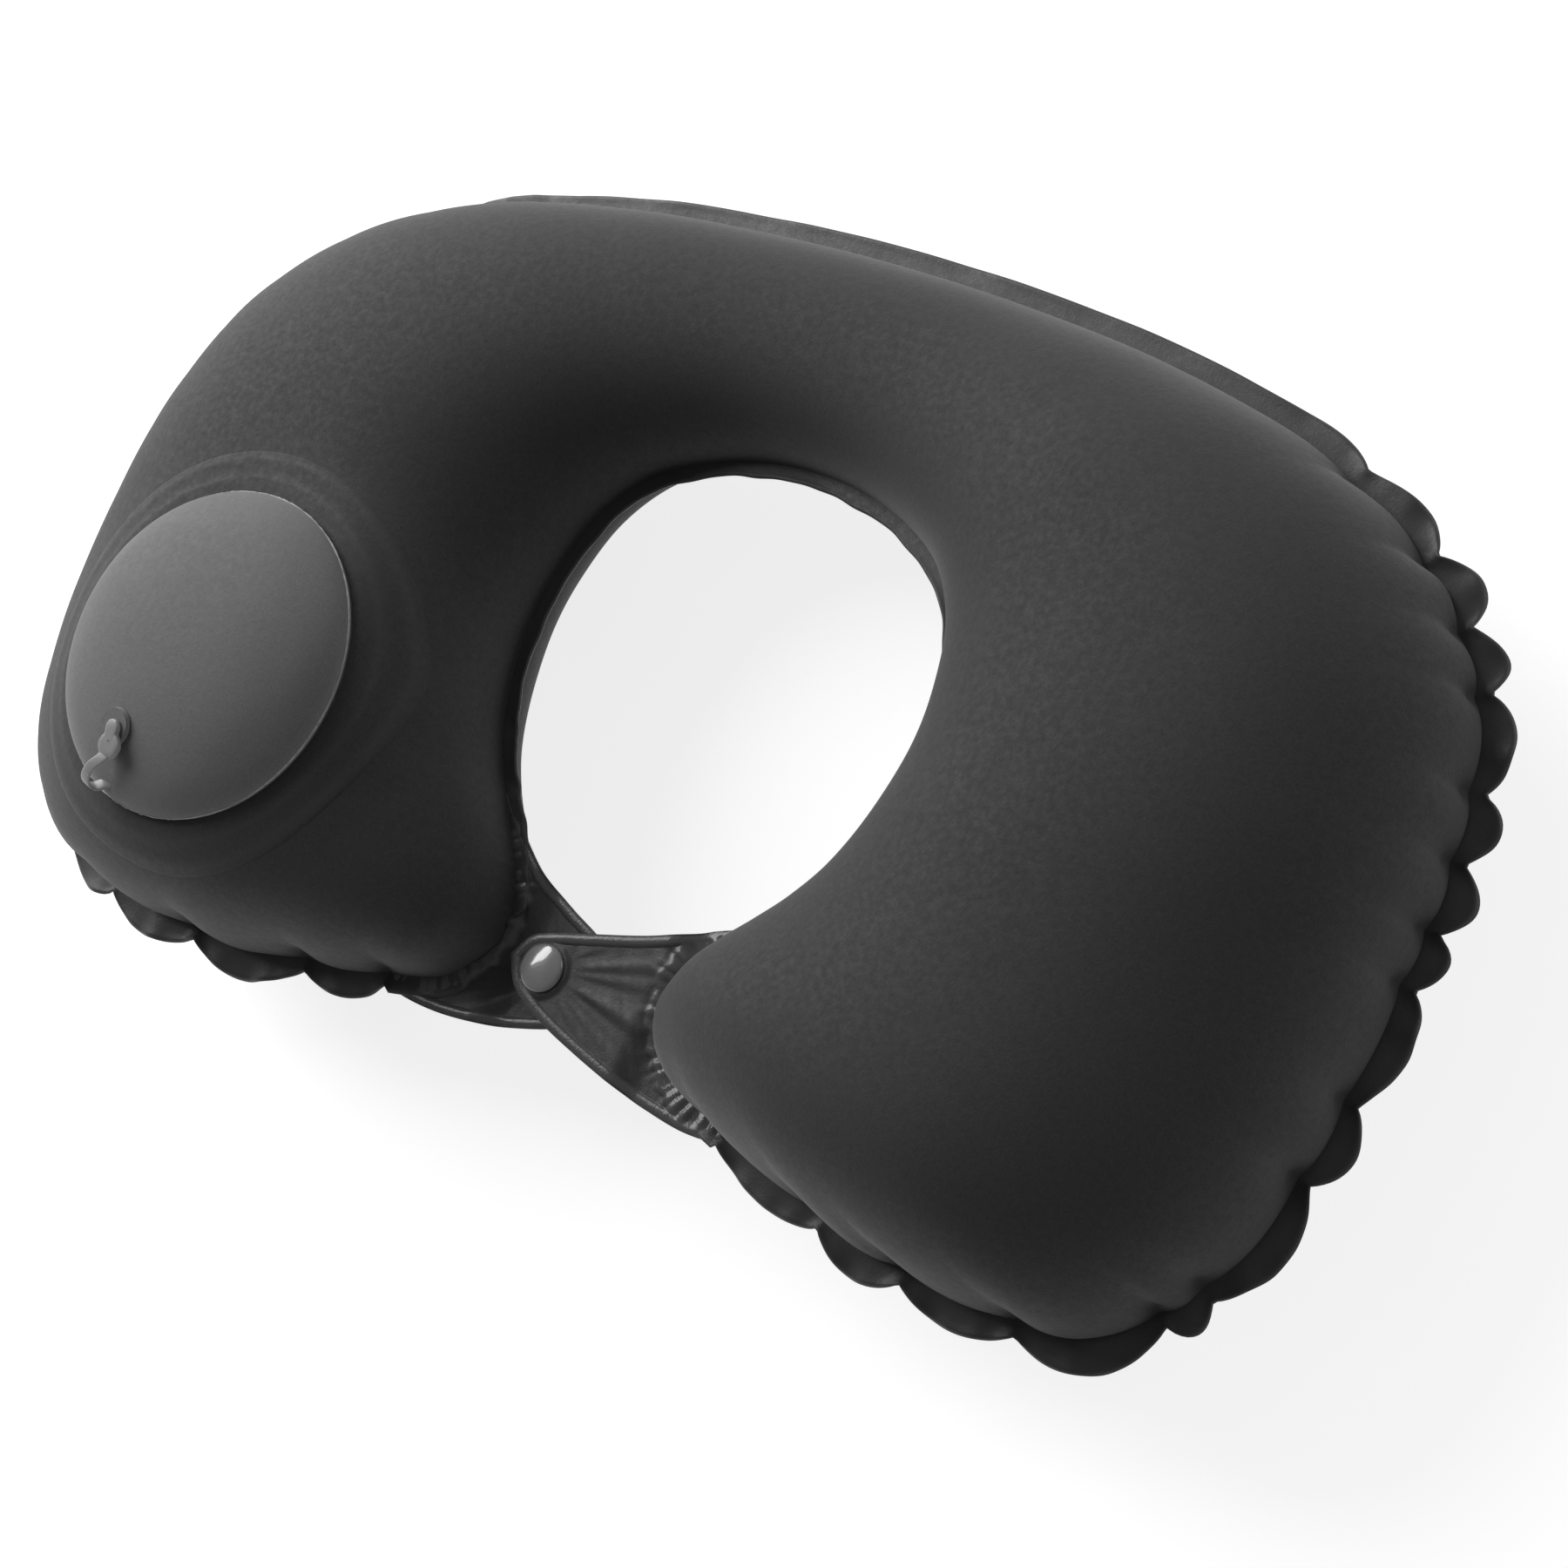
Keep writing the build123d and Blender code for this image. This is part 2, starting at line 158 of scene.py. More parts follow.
def make_mesh(name, points, faces, attributes=None):
    """Mesh object from points in millimetres, smooth shaded."""
    mesh = bpy.data.meshes.new(name)
    mesh.from_pydata((np.asarray(points, float).reshape(-1, 3) * MM).tolist(), [], faces)
    mesh.update()
    mesh.polygons.foreach_set("use_smooth", [True] * len(mesh.polygons))
    for key, values in (attributes or {}).items():
        attribute = mesh.attributes.new(key, "FLOAT", "POINT")
        attribute.data.foreach_set("value", np.asarray(values, np.float32).ravel())
    obj = bpy.data.objects.new(name, mesh)
    bpy.context.scene.collection.objects.link(obj)
    return obj


def face_outward(obj, towards_up):
    """Turns the normals so that most of the area looks up, or down."""
    mesh = obj.data
    flow = sum(p.normal.z * p.area for p in mesh.polygons)
    if (flow > 0) != towards_up:
        mesh.flip_normals()
    mesh.update()


def merge_poles(obj):
    """Joins points that fall together, as at the top of a turned shape."""
    bm = bmesh.new()
    bm.from_mesh(obj.data)
    bmesh.ops.remove_doubles(bm, verts=bm.verts, dist=1e-6)
    bm.to_mesh(obj.data)
    bm.free()


def thicken(obj, thickness):
    """Gives a sheet its thickness, half to each side."""
    modifier = obj.modifiers.new("thickness", "SOLIDIFY")
    modifier.thickness = thickness * MM
    modifier.offset = 0.0


# ---- materials ---------------------------------------------------------------------------------


class Nodes:
    """Short way to build a node material."""

    def __init__(self, name):
        self.material = bpy.data.materials.new(name)
        self.material.use_nodes = True
        self.tree = self.material.node_tree
        self.tree.nodes.clear()
        self.output = self.tree.nodes.new("ShaderNodeOutputMaterial")
        self.shader = self.tree.nodes.new("ShaderNodeBsdfPrincipled")
        self.link(self.shader.outputs[0], self.output.inputs["Surface"])
        self.place = self.tree.nodes.new("ShaderNodeTexCoord").outputs["Object"]

    def link(self, a, b):
        self.tree.links.new(a, b)

    def set(self, **values):
        for key, value in values.items():
            self.shader.inputs[key.replace("_", " ")].default_value = value

    def noise(self, scale, detail=3.0, roughness=0.55):
        node = self.tree.nodes.new("ShaderNodeTexNoise")
        node.inputs["Scale"].default_value = scale
        node.inputs["Detail"].default_value = detail
        node.inputs["Roughness"].default_value = roughness
        self.link(self.place, node.inputs["Vector"])
        return node.outputs["Fac"]

    def attribute(self, name):
        node = self.tree.nodes.new("ShaderNodeAttribute")
        node.attribute_name = name
        return node.outputs["Fac"]

    def ramp(self, value, low, high, at=(0.3, 0.7)):
        node = self.tree.nodes.new("ShaderNodeMapRange")
        node.inputs["From Min"].default_value = at[0]
        node.inputs["From Max"].default_value = at[1]
        node.inputs["To Min"].default_value = low
        node.inputs["To Max"].default_value = high
        self.link(value, node.inputs["Value"])
        return node.outputs["Result"]

    def maths(self, kind, a, b):
        node = self.tree.nodes.new("ShaderNodeMath")
        node.operation = kind
        for socket, value in zip(node.inputs, (a, b)):
            if isinstance(value, (int, float)):
                socket.default_value = value
            else:
                self.link(value, socket)
        return node.outputs[0]

    def mix(self, factor, a, b):
        node = self.tree.nodes.new("ShaderNodeMix")
        node.data_type = "RGBA"
        self.link(factor, node.inputs["Factor"])
        for key, value in ((6, a), (7, b)):
            if hasattr(value, "is_output"):
                self.link(value, node.inputs[key])
            else:
                node.inputs[key].default_value = (*value, 1.0)
        return node.outputs[2]

    def bump(self, height, distance, strength=1.0, normal=None):
        node = self.tree.nodes.new("ShaderNodeBump")
        node.inputs["Distance"].default_value = distance
        node.inputs["Strength"].default_value = strength
        self.link(height, node.inputs["Height"])
        if normal is not None:
            self.link(normal, node.inputs["Normal"])
        return node.outputs["Normal"]


def coated_fabric(name, dark, light, weld_and_sheen, sheen, film=0.0):
    """Fine suede-like coated fabric, with smoother welded film where the weld mask is 1; the film's slightly
    lighter colour is painted sheen.
    """
    n = Nodes(name)
    grain = n.noise(1500.0, 2.0, 0.6)
    cloud = n.noise(14.0, 3.0, 0.5)
    speckle = n.noise(520.0, 2.0, 0.6)
    tone = n.maths("ADD", n.maths("MULTIPLY", cloud, 0.45), n.maths("MULTIPLY", grain, 0.55))
    fabric = n.mix(n.ramp(tone, 0.0, 1.0, (0.38, 0.62)), dark, light)
    weld_sheen_mask = n.attribute("weld_and_sheen")
    # Painted sheen: the welded film's colour is lighter than the fabric's.
    n.link(n.mix(weld_sheen_mask, fabric, weld_and_sheen), n.shader.inputs["Base Color"])
    rough_fabric = n.ramp(speckle, 0.72, 0.86)
    smoother = n.maths("MULTIPLY", weld_sheen_mask, 0.3)
    smoother = n.maths("ADD", smoother, film)
    n.link(n.maths("SUBTRACT", rough_fabric, smoother), n.shader.inputs["Roughness"])
    fine = n.bump(grain, 0.00012, 0.5)
    n.link(n.bump(speckle, 0.00015, 0.35, fine), n.shader.inputs["Normal"])
    n.set(Sheen_Weight=sheen, Sheen_Roughness=0.5, Specular_IOR_Level=0.3)
    return n.material


def moulded(name, dark, light, roughness, coat=0.0):
    """Soft or hard moulded plastic with faint flow marks and a fine surface texture."""
    n = Nodes(name)
    flow = n.noise(120.0, 3.0, 0.5)
    fine = n.noise(900.0, 2.0, 0.5)
    n.link(n.mix(n.ramp(flow, 0.0, 1.0), dark, light), n.shader.inputs["Base Color"])
    n.link(n.ramp(flow, roughness - 0.04, roughness + 0.06), n.shader.inputs["Roughness"])
    n.link(n.bump(fine, 0.00006, 0.4), n.shader.inputs["Normal"])
    n.set(Coat_Weight=coat, Coat_Roughness=0.06)
    return n.material


def open_foam(name):
    n = Nodes(name)
    cells = n.tree.nodes.new("ShaderNodeTexVoronoi")
    cells.inputs["Scale"].default_value = 700.0
    n.link(n.place, cells.inputs["Vector"])
    depth = cells.outputs["Distance"]
    colour = n.mix(n.ramp(depth, 0.0, 1.0, (0.1, 0.6)), (0.62, 0.6, 0.52), (0.3, 0.29, 0.25))
    n.link(colour, n.shader.inputs["Base Color"])
    n.link(n.bump(depth, 0.0006, 0.6), n.shader.inputs["Normal"])
    n.set(Roughness=0.9)
    return n.material


# Each fabric's third colour is its welded film, lighter than the fabric as painted sheen.
PANEL = coated_fabric(
    "panel_fabric", (0.0171, 0.0171, 0.0174), (0.0252, 0.0252, 0.0256), (0.032, 0.032, 0.0323), sheen=0.12
)
TAB = coated_fabric(
    "tab_fabric", (0.0184, 0.0184, 0.0187), (0.0258, 0.0258, 0.026), (0.072, 0.072, 0.0725), sheen=0.06,
    film=0.32,
)
PUMP = coated_fabric(
    "pump_fabric", (0.088, 0.088, 0.0885), (0.1091, 0.1091, 0.1096), (0.14, 0.14, 0.14), sheen=0.15
)
CUT_EDGE = moulded("cut_edge", (0.16, 0.16, 0.16), (0.42, 0.42, 0.42), 0.55)
PLUG = moulded("plug_plastic", (0.17, 0.17, 0.172), (0.2, 0.2, 0.202), 0.42)
VALVE = moulded("valve_plastic", (0.075, 0.075, 0.077), (0.09, 0.09, 0.092), 0.45)
SNAP = moulded("snap_plastic", (0.16, 0.16, 0.162), (0.19, 0.19, 0.192), 0.2, coat=1.0)
RUBBER = moulded("flap_rubber", (0.03, 0.03, 0.03), (0.045, 0.045, 0.045), 0.6)
FOAM = open_foam("open_foam")

# ---- air chamber -------------------------------------------------------------------------------


def full_ribs():
    """Ribs of both arms, from the left tip to the right tip."""
    left = [((-ox, oy), (-ix, iy), h) for (ox, oy), (ix, iy), h in reversed(RIBS[1:])]
    return left + RIBS


def station_numbers(outer, inner):
    """Rib numbers, 0 at the left tip, spaced evenly along the seams."""
    fine = np.linspace(0, 2 * TIP_RIB, 6000)
    inner_share = 0.6
    outer_run = running_length(smooth_through(outer, fine))
    length = outer_run + inner_share * running_length(smooth_through(inner, fine))
    return np.interp(np.linspace(0, length[-1], STATIONS), length, fine)


ribs = full_ribs()
OUTER = np.array([r[0] for r in ribs])
INNER = np.array([r[1] for r in ribs])
HEIGHT = np.array([[r[2]] for r in ribs])
AT = station_numbers(OUTER, INNER)
ARM = AT - TIP_RIB  # signed rib number, negative on the left arm


LOBE_LEAN = RNG.uniform(0.75, 1.3, 40)
LOBE_SIZE = RNG.uniform(0.75, 1.1, 40)
PLAIN_LOBE = 0.3  # lobe height where the seam has no notches
SCALLOPS_START = (2.2, 4.2)  # rib numbers over which the scallops grow out of the plain back edge
SCALLOPS_END = (12.6, 13.6)  # and over which they die away towards the tab


def scallops():
    """Lobe height 0..1 and strength for each station, and where the notches lie along the outer seam."""
    notches = np.array([-x for x in reversed(LEFT_NOTCHES)] + RIGHT_NOTCHES)
    seam = running_length(smooth_through(OUTER, AT))
    at_notch = np.interp(notches, ARM, seam)
    k = np.clip(np.searchsorted(notches, ARM) - 1, 0, len(notches) - 2)
    inside = (ARM >= notches[0]) & (ARM <= notches[-1])
    f = np.clip((seam - at_notch[k]) / (at_notch[k + 1] - at_notch[k]), 0, 1)
    lean = np.clip(f ** LOBE_LEAN[k], 0, 1)
    lobe = np.where(inside, np.sin(math.pi * lean) ** 0.8 * LOBE_SIZE[k], PLAIN_LOBE)
    strength = smoothstep(np.abs(ARM), *SCALLOPS_START) * (1 - smoothstep(np.abs(ARM), *SCALLOPS_END))
    return lobe, strength, seam, at_notch, notches


LOBE, STRENGTH, SEAM_RUN, NOTCH_RUN, NOTCH_ARM = scallops()
NOTCH_DEPTH = RNG.uniform(0.7, 1.25, len(NOTCH_RUN))
NOTCH_REACH = RNG.uniform(0.5, 0.9, len(NOTCH_RUN)) * (1 + 1.1 * smoothstep(np.abs(NOTCH_ARM), 8.6, 9.6))
NOTCH_LEAN = RNG.uniform(-0.12, 0.12, len(NOTCH_RUN))


def plan_normals(loop):
    """Unit normals of a closed loop in plan, pointing out of it."""
    tangent = np.roll(loop, -2, axis=0) - np.roll(loop, 2, axis=0)
    length = np.linalg.norm(tangent, axis=1, keepdims=True)
    tangent = tangent / np.maximum(length, 1e-6)
    return np.stack([-tangent[:, 1], tangent[:, 0]], -1)


def seam_loop():
    """Closed seam: outer seam left to right, then the inner seam back. Returns points and outward normals."""
    outer = smooth_through(OUTER, AT)
    inner = smooth_through(INNER, AT)[::-1][1:-1]
    loop = np.vstack([outer, inner])
    normals = plan_normals(loop)
    for _ in range(6):
        normals = 0.5 * normals + 0.25 * (np.roll(normals, 1, axis=0) + np.roll(normals, -1, axis=0))
    normals /= np.linalg.norm(normals, axis=1, keepdims=True)
    return loop, normals


LOOP, LOOP_NORMAL = seam_loop()
OUTER_NORMAL = LOOP_NORMAL[:STATIONS]


def crown_power(side):
    """Superellipse power of each station: the pump holds the left arm's crown flatter."""
    if side < 0:
        return np.full(STATIONS, ROUND_CROWN)
    held = smoothstep(-ARM, 4.6, 7.2) * (1 - smoothstep(-ARM, 9.4, 12.4))
    return ROUND_CROWN + (PUMP_CROWN - ROUND_CROWN) * held


SEAM_PULL = -0.7  # how far a notch draws the panel's edge in
SEAM_SWELL = 1.5  # and how much further out it lies at a full lobe
SEAM_FADE = 3.0  # how fast that dies away into the panel


def panel_points(side):
    """Grid of one panel, stations x across, with puckers along the outer seam."""
    outer = smooth_through(OUTER, AT)
    inner = smooth_through(INNER, AT)
    height = smooth_through(HEIGHT, AT)[:, 0]
    height = np.maximum(height, 0)
    share = 1.0 if side > 0 else LOWER_SHARE
    turn = math.pi * np.arange(ACROSS + 1) / ACROSS
    power = 2 / crown_power(side)[:, None]
    c = -np.sign(np.cos(turn)) * np.abs(np.cos(turn))[None, :] ** power
    s = np.abs(np.sin(turn))[None, :] ** power
    middle = (outer + inner) / 2
    half = (outer - inner) / 2
    plan = middle[:, None, :] + half[:, None, :] * c[..., None]
    reach = np.linalg.norm(half, axis=1)[:, None] * (1 - c)
    shift = ((SEAM_PULL + SEAM_SWELL * LOBE) * STRENGTH)[:, None] * np.exp(-reach / SEAM_FADE)
    plan = plan + OUTER_NORMAL[:, None, :] * shift[..., None]
    z = SEAM_Z + side * height[:, None] * share * s
    points = np.concatenate([plan, z[:, :, None]], -1)
    if side > 0:
        points = flatten_under_pump(points)
    else:
        points[..., 2] = np.maximum(points[..., 2], LOWEST_Z)
    return pucker(points, side)


def flatten_under_pump(points):
    """Brings the upper panel to the pump's level under it, easing off over PUMP_EASE round it."""
    away = np.hypot(points[..., 0] - PUMP_AT[0], points[..., 1] - PUMP_AT[1])
    off_seam = smoothstep(points[..., 2] - SEAM_Z, 4.0, 30.0)
    hold = (1 - np.clip((away - PUMP_R) / PUMP_EASE, 0, 1)) ** 2.2 * off_seam
    points[..., 2] += (PUMP_FLAT_Z - points[..., 2]) * hold
    return points


def grid_normals(points):
    """Unit normals of a grid of points."""
    du = np.gradient(points, axis=0)
    dv = np.gradient(points, axis=1)
    normal = np.cross(du, dv)
    return normal / np.maximum(np.linalg.norm(normal, axis=-1, keepdims=True), 1e-9)


def grows_then_fades(distance, grow, fade):
    """Nothing at the seam, most a little way in, and dying away over fade."""
    return np.exp(-distance / fade) * (1 - np.exp(-distance / grow))


CREASE_WIDTH = 2.5
CREASE_SPREAD = 0.2  # how much wider a crease gets for each millimetre in
CREASE_DEPTH = 2.3
LOBE_LIFT = 1.5
RIPPLE_HEIGHT = 0.55  # small gathers along the inner seam near the tips
RIPPLE_RIBS = (9.5, 12.5)


def pucker(points, side):
    """Creases that run in from the notches, and soft lobes between them."""
    steps = np.linalg.norm(np.diff(points, axis=1), axis=-1)
    from_outer = np.cumsum(steps[:, ::-1], axis=1)[:, ::-1]
    from_outer = np.concatenate([from_outer, np.zeros((STATIONS, 1))], 1)
    from_inner = np.concatenate([np.zeros((STATIONS, 1)), np.cumsum(steps, axis=1)], 1)
    lift = np.zeros(from_outer.shape)
    along = SEAM_RUN[:, None]
    for run, depth, reach, lean in zip(NOTCH_RUN, NOTCH_DEPTH, NOTCH_REACH, NOTCH_LEAN):
        across = (along - run - lean * from_outer) / (CREASE_WIDTH + CREASE_SPREAD * from_outer)
        lift -= CREASE_DEPTH * depth * np.exp(-(across**2)) * grows_then_fades(from_outer, 2.5, 8.0 * reach)
    lift += LOBE_LIFT * (LOBE[:, None] - 0.4) * grows_then_fades(from_outer, 1.5, 11.0)
    lift *= STRENGTH[:, None]
    nose = smoothstep(np.abs(ARM), *RIPPLE_RIBS)[:, None]
    ripple = wavy(running_length(smooth_through(INNER, AT)), 7.0, 3)[:, None]
    lift += RIPPLE_HEIGHT * nose * ripple * grows_then_fades(from_inner, 0.8, 4.0)
    normal = grid_normals(points)
    up = np.where((normal[..., 2] * side).sum(axis=1, keepdims=True) < 0, -1.0, 1.0)[..., None]
    return points + normal * up * lift[..., None]


FLANGE_TUCK = 2.2  # how far the flange runs on inside the chamber wall
OUTER_FLANGE = 4.7  # width at a notch
LOBE_FLANGE = 3.4  # extra width at a full lobe
BACK_FLANGE = 1.9  # extra width where the seam has no scallops
INNER_FLANGE = 4.5
TIP_FLANGE = 0.6
TIP_FLANGE_RIBS = (13.3, 13.9)  # where the flange gives way to the tab
FLANGE_PULL = -1.2  # how far a notch draws the flange in
FLANGE_SWELL = 2.4
FLANGE_COLUMNS = np.array([0.0, 0.05, 0.14, 0.26, 0.4, 0.55, 0.7, 0.82, 0.9, 0.96, 1.0])
FLANGE_PROFILE = np.array([0.3, 0.3, 0.31, 0.33, 0.36, 0.4, 0.46, 0.6, 0.62, 0.42, 0.0])


def flange_points(side):
    """Weld flange round the whole seam: half its thickness on one side, with a rolled outer edge."""
    count = len(LOOP)
    inner_count = count - STATIONS
    inner_arm = ARM[::-1][1:-1]
    run = running_length(np.vstack([LOOP, LOOP[:1]]))[:-1]
    outer_width = OUTER_FLANGE + LOBE_FLANGE * LOBE * STRENGTH + BACK_FLANGE * (1 - STRENGTH)
    inner_width = INNER_FLANGE + 0.35 * wavy(run[STATIONS:], 31.0, 5)
    width = np.concatenate([outer_width, inner_width])
    whole_arm = np.abs(np.concatenate([ARM, inner_arm]))
    width = TIP_FLANGE + (width - TIP_FLANGE) * (1 - smoothstep(whole_arm, *TIP_FLANGE_RIBS))
    seam_shift = np.concatenate([(FLANGE_PULL + FLANGE_SWELL * LOBE) * STRENGTH, np.zeros(inner_count)])
    strength = np.concatenate([STRENGTH, 0.35 * smoothstep(np.abs(inner_arm), 5.0, 9.0)])
    lobe = np.concatenate([LOBE, 0.5 + 0.5 * wavy(run[STATIONS:], 16.0, 11)])
    curl = strength * (-2.6 * (lobe - 0.35) + 0.9 * wavy(run, 23.0, 21))
    curl += 0.35 * wavy(run, 61.0, 22)
    seam_wave = strength * 0.7 * wavy(run, 37.0, 23) * (lobe - 0.2)
    base = LOOP + LOOP_NORMAL * seam_shift[:, None]
    reach = width[:, None] * FLANGE_COLUMNS[None, :]
    reach[:, 0] = -FLANGE_TUCK
    plan = base[:, None, :] + LOOP_NORMAL[:, None, :] * reach[..., None]
    z = SEAM_Z + side * FLANGE_PROFILE[None, :] + curl[:, None] * FLANGE_COLUMNS[None, :] ** 1.25
    z += seam_wave[:, None] * np.sin(math.pi * FLANGE_COLUMNS[None, :] * 0.5)
    return np.concatenate([plan, z[..., None]], -1)


def turn_outward(obj, panel_count, side):
    """Turns each of the two grids as one, so that its faces look out of the chamber."""
    bm = bmesh.new()
    bm.from_mesh(obj.data)
    on_panel = [f for f in bm.faces if all(v.index < panel_count for v in f.verts)]
    on_flange = [f for f in bm.faces if all(v.index >= panel_count for v in f.verts)]
    for faces in (on_panel, on_flange):
        if sum(f.normal.z * f.calc_area() for f in faces) * side < 0:
            bmesh.ops.reverse_faces(bm, faces=faces)
    bm.to_mesh(obj.data)
    bm.free()


def make_panel(name, node, side):
    """One skin of the chamber with its half of the weld flange. Returns the skin's grid of points."""
    panel = panel_points(side)
    flange = flange_points(side)
    rows, columns = panel.shape[:2]
    faces = grid_quads(rows, columns)
    faces += grid_quads(len(flange), len(FLANGE_COLUMNS), close_rows=True, start=rows * columns)
    points = np.vstack([panel.reshape(-1, 3), flange.reshape(-1, 3)])
    # The whole flange takes the welded film's lighter colour: painted sheen where it catches light.
    weld_and_sheen = np.concatenate([np.zeros(rows * columns), np.ones(flange.shape[0] * flange.shape[1])])
    obj = make_mesh(name, points, faces, {"weld_and_sheen": weld_and_sheen})
    turn_outward(obj, rows * columns, side)
    obj.data.materials.append(PANEL)
    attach(obj, "pillow")
    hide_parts(node)
    return panel


UPPER_GRID = make_panel("upper_skin", "upper_panel", 1)
make_panel("lower_skin", "lower_panel", -1)

# ---- surface of the upper panel, for what lies on it -------------------------------------------

UPPER_TREE = BVHTree.FromPolygons(
    [Vector(point) for point in UPPER_GRID.reshape(-1, 3)], grid_quads(*UPPER_GRID.shape[:2])
)


def on_upper(x, y):
    """Height of the upper panel over a point."""
    above = 200.0
    hit = UPPER_TREE.ray_cast(Vector((x, y, above)), Vector((0, 0, -1)))
    return hit[0].z if hit[0] is not None else SEAM_Z


# ---- pump --------------------------------------------------------------------------------------


def make_patch():
    """Reinforcing film round the pump, with two raised weld rings and a thin outer edge."""
    radii = np.array([44.0, 49.0, 51.0, 52.0, 53.0, 54.0, 55.5, 57.0, 58.0, 59.0, 60.2, 60.8, 61.0])
    raise_by = np.array([0.15, 0.15, 0.15, 0.2, 0.3, 0.2, 0.15, 0.16, 0.24, 0.3, 0.22, 0.14, -0.2])
    steps = 288
    points = []
    for k in range(steps):
        turn = 2 * math.pi * k / steps
        for r, up in zip(radii, raise_by):
            x = PUMP_AT[0] + r * math.cos(turn)
            y = PUMP_AT[1] + r * math.sin(turn)
            points.append((x, y, on_upper(x, y) + up))
    # The raised weld rings take the welded film's lighter colour: painted sheen on the beads.
    weld_and_sheen = np.tile(np.interp(raise_by, [0.15, 0.3], [0.05, 0.35]), steps)
    obj = make_mesh("patch_film", points, grid_quads(steps, len(radii), close_rows=True), {"weld_and_sheen": weld_and_sheen})
    face_outward(obj, True)
    obj.data.materials.append(PANEL)
    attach(obj, "pillow")
    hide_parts("pump_patch")


make_patch()


def dome_height(r, radius, rise):
    """Profile of the foam dome: shallow crown that rolls over a full shoulder to the cut edge."""
    f = np.clip(r / radius, 0, 1)
    crown = 1 - f**2.3
    return rise * np.clip(crown, 0, 1) ** 0.62


def press_flat(obj):
    """Gives the piece its own copy of its mesh."""
    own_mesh(obj)


DOME_TURNS = 256
DOME_STEPS = 72
DOME_TILT = 0.02
DOME_WRINKLE = 0.22  # five soft swells round the shoulder


def make_dome(name, radius, rise, base_z, lip, material, node):
    """Round crowned piece with a rolled rim: the pump's cover, or the foam inside it."""
    f = np.sin(np.linspace(0, math.pi / 2, DOME_STEPS)) ** 0.9
    radii = np.concatenate([f * radius, [radius + 0.25, radius + 0.1, radius - 0.8]])
    rim = np.array([lip * 0.55, 0.1, 0.0])
    turn = 2 * math.pi * np.arange(DOME_TURNS) / DOME_TURNS
    heights = np.concatenate([lip + dome_height(f * radius, radius, rise - lip), rim])
    tilt = 1 + DOME_TILT * np.sin(turn + 0.7)[:, None] * smoothstep(radii / radius, 0.0, 0.8)[None, :]
    x = PUMP_AT[0] + radii[None, :] * np.cos(turn)[:, None]
    y = PUMP_AT[1] + radii[None, :] * np.sin(turn)[:, None]
    z = base_z + heights[None, :] * tilt
    z += DOME_WRINKLE * np.sin(5 * turn + 1.0)[:, None] * bell(radii / radius, 0.86, 0.1)[None, :]
    points = np.stack([x, y, z], -1)
    # The rim rows take the welded film's lighter colour: painted sheen on the rim.
    weld_and_sheen = np.zeros(points.shape[:2])
    weld_and_sheen[:, -4:-1] = 0.7
    obj = make_mesh(name, points, grid_quads(DOME_TURNS, len(radii), close_rows=True), {"weld_and_sheen": weld_and_sheen})
    merge_poles(obj)
    face_outward(obj, True)
    obj.data.materials.append(material)
    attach(obj, "pump_top")
    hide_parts(node)
    press_flat(obj)


COVER_SINK = 0.4  # how far the cover's rim lies below the base film's top
COVER_TO_FOAM = 1.6
FOAM_R = PUMP_R - COVER_TO_FOAM
FOAM_RISE = PUMP_RISE - COVER_TO_FOAM
COVER_Z = PUMP_BASE_Z - COVER_SINK
make_dome("dome_skin", PUMP_R, PUMP_RISE, COVER_Z, 1.5, PUMP, "pump_dome_cover")
make_dome("foam_core", FOAM_R, FOAM_RISE, PUMP_BASE_Z, 1.0, FOAM, "pump_foam")


def make_cut_edge():
    """Thin pale edge where the dome's laminated fabric was cut."""
    turns, sides = 360, 8
    rng = np.random.default_rng(12)
    fray = np.clip(0.24 + 0.07 * rng.standard_normal(turns), 0.1, 0.42)  # half the edge's thickness
    points = []
    for k in range(turns):
        turn = 2 * math.pi * k / turns
        for m in range(sides):
            around = 2 * math.pi * m / sides
            r = PUMP_R + 0.15 + fray[k] * math.cos(around)
            z = PUMP_BASE_Z + 0.75 + 0.8 * fray[k] * math.sin(around)
            points.append((PUMP_AT[0] + r * math.cos(turn), PUMP_AT[1] + r * math.sin(turn), z))
    faces = []
    for k in range(turns):
        for m in range(sides):
            a = k * sides + m
            b = k * sides + (m + 1) % sides
            c = ((k + 1) % turns) * sides + (m + 1) % sides
            d = ((k + 1) % turns) * sides + m
            faces.append((a, d, c, b))
    obj = make_mesh("pump_cut_edge", points, faces)
    obj.data.materials.append(CUT_EDGE)
    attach(obj, "pump_top")
    press_flat(obj)


make_cut_edge()

# ---- tabs --------------------------------------------------------------------------------------

